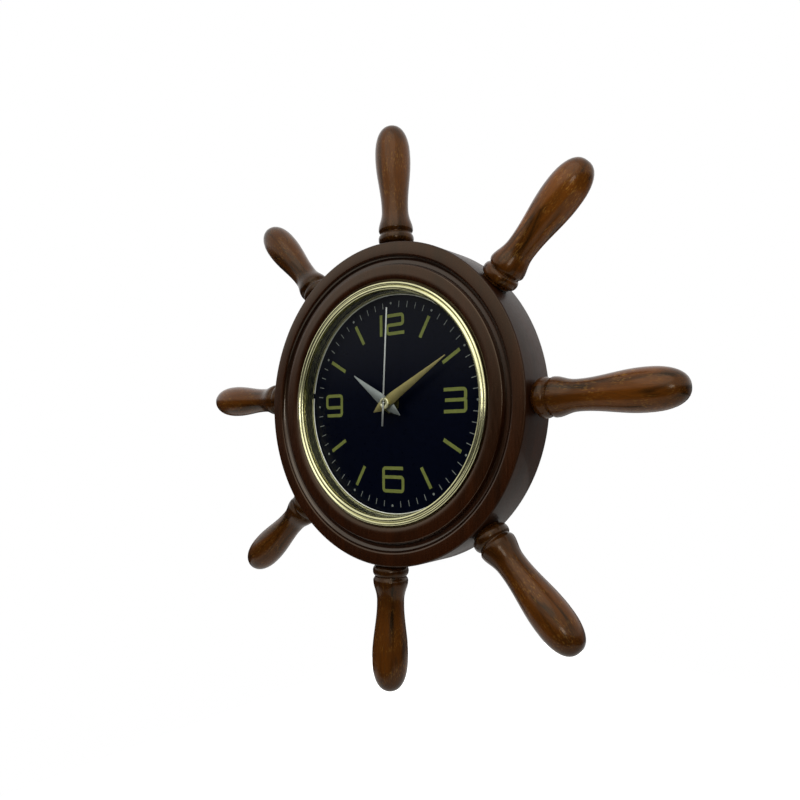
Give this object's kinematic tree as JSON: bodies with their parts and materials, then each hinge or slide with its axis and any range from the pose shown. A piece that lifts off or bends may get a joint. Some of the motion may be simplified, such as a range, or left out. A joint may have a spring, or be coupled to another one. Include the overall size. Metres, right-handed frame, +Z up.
{
  "type": "ship wheel wall clock",
  "caption": "Wall clock shaped as a ship's wheel: turned dark wood ring with turned handles, brass bezel, convex glass, dark dial and a battery quartz movement.",
  "frame": {"origin": "the point on the wall where the screw or nail holds the hanger plate's keyhole slot, on the plane of the wheel body's back", "axes": "+X to the right as the dial is read, +Y into the wall, +Z up; the dial faces -Y and the wheel's axis is 76 mm below the origin"},
  "size_m": [0.3997, 0.0326, 0.3998],
  "materials": {
    "dark_wood": "semi-gloss dark stain",
    "amber_wood": "gloss varnish",
    "brass": "polished and lacquered",
    "clear_glass": "clear polished",
    "dial_enamel": "smooth dark navy print",
    "hand_metal": "champagne satin",
    "zinc_steel": "zinc plated",
    "black_plastic": "moulded black",
    "nylon": "moulded natural nylon",
    "rubber": "matt black",
    "magnet": "sintered dark grey",
    "stator_iron": "stamped bare",
    "copper": "enamelled copper winding",
    "circuit_green": "solder mask",
    "cell_wrap": "plain printed wrap"
  },
  "bodies": {
    "clock": {"wheel_body": "dark_wood", "handle_top": "amber_wood", "handle_top_right": "amber_wood", "handle_right": "amber_wood", "handle_bottom_right": "amber_wood", "handle_bottom": "amber_wood", "handle_bottom_left": "amber_wood", "handle_left": "amber_wood", "handle_top_left": "amber_wood", "brass_bezel": "brass", "glass": "clear_glass", "dial_plate": "dial_enamel", "retaining_ring": "brass", "threaded_bush": "brass", "hex_nut": "brass", "dial_washer": "brass", "rubber_washer": "rubber", "movement_front_case": "black_plastic", "movement_back_cover": "black_plastic", "gear_plate": "nylon", "stator": "stator_iron", "coil": "copper", "circuit_board": "circuit_green", "quartz_crystal": "zinc_steel", "battery_contact_positive": "zinc_steel", "battery_contact_negative": "zinc_steel", "hanger_plate": "zinc_steel", "hanger_screw_left": "zinc_steel", "hanger_screw_right": "zinc_steel"},
    "seconds": {"second_hand": "hand_metal", "seconds_wheel": "nylon"},
    "step": {"step_wheel": "nylon"},
    "rotor": {"rotor": "magnet"},
    "third": {"third_wheel": "nylon"},
    "centre": {"centre_wheel": "nylon"},
    "minute": {"minute_hand": "hand_metal", "minute_arbor": "brass", "hand_nut": "brass"},
    "motion": {"motion_wheel": "nylon"},
    "hour": {"hour_hand": "hand_metal", "hour_wheel": "nylon"},
    "knob": {"setting_knob": "black_plastic"},
    "battery": {"battery": "cell_wrap"}
  },
  "joints": [
    {"name": "second_hand_turn", "type": "hinge", "parent": "clock", "child": "seconds", "pos_m": [0, -0.012, -0.076], "axis": [0, 1, 0], "continuous": true},
    {"name": "step_wheel_turn", "type": "hinge", "parent": "clock", "child": "step", "pos_m": [-0.00786, -0.012, -0.0694], "axis": [0, 1, 0], "continuous": true},
    {"name": "rotor_turn", "type": "hinge", "parent": "clock", "child": "rotor", "pos_m": [-0.01003, -0.012, -0.06129], "axis": [0, 1, 0], "continuous": true},
    {"name": "third_wheel_turn", "type": "hinge", "parent": "clock", "child": "third", "pos_m": [0.00958, -0.012, -0.07251], "axis": [0, 1, 0], "continuous": true},
    {"name": "centre_wheel_turn", "type": "hinge", "parent": "clock", "child": "centre", "pos_m": [0, -0.012, -0.076], "axis": [0, 1, 0], "continuous": true},
    {"name": "minute_hand_turn", "type": "hinge", "parent": "clock", "child": "minute", "pos_m": [0, -0.012, -0.076], "axis": [0, 1, 0], "continuous": true},
    {"name": "motion_wheel_turn", "type": "hinge", "parent": "clock", "child": "motion", "pos_m": [-0.00869, -0.012, -0.07367], "axis": [0, 1, 0], "continuous": true},
    {"name": "hour_hand_turn", "type": "hinge", "parent": "clock", "child": "hour", "pos_m": [0, -0.012, -0.076], "axis": [0, 1, 0], "continuous": true},
    {"name": "setting_knob_turn", "type": "hinge", "parent": "clock", "child": "knob", "pos_m": [-0.01769, -0.012, -0.07367], "axis": [0, 1, 0], "continuous": true},
    {"name": "battery_slide", "type": "slide", "parent": "clock", "child": "battery", "axis": [0, 1, 0], "range_m": [0, 0.02]}
  ],
  "couplings": [
    {"joint": "step_wheel_turn", "follows": "second_hand_turn", "ratio": -5},
    {"joint": "rotor_turn", "follows": "second_hand_turn", "ratio": 30},
    {"joint": "third_wheel_turn", "follows": "second_hand_turn", "ratio": -0.13333},
    {"joint": "centre_wheel_turn", "follows": "second_hand_turn", "ratio": 0.016667},
    {"joint": "motion_wheel_turn", "follows": "minute_hand_turn", "ratio": -0.33333},
    {"joint": "hour_hand_turn", "follows": "minute_hand_turn", "ratio": 0.083333},
    {"joint": "setting_knob_turn", "follows": "minute_hand_turn", "ratio": 1}
  ]
}
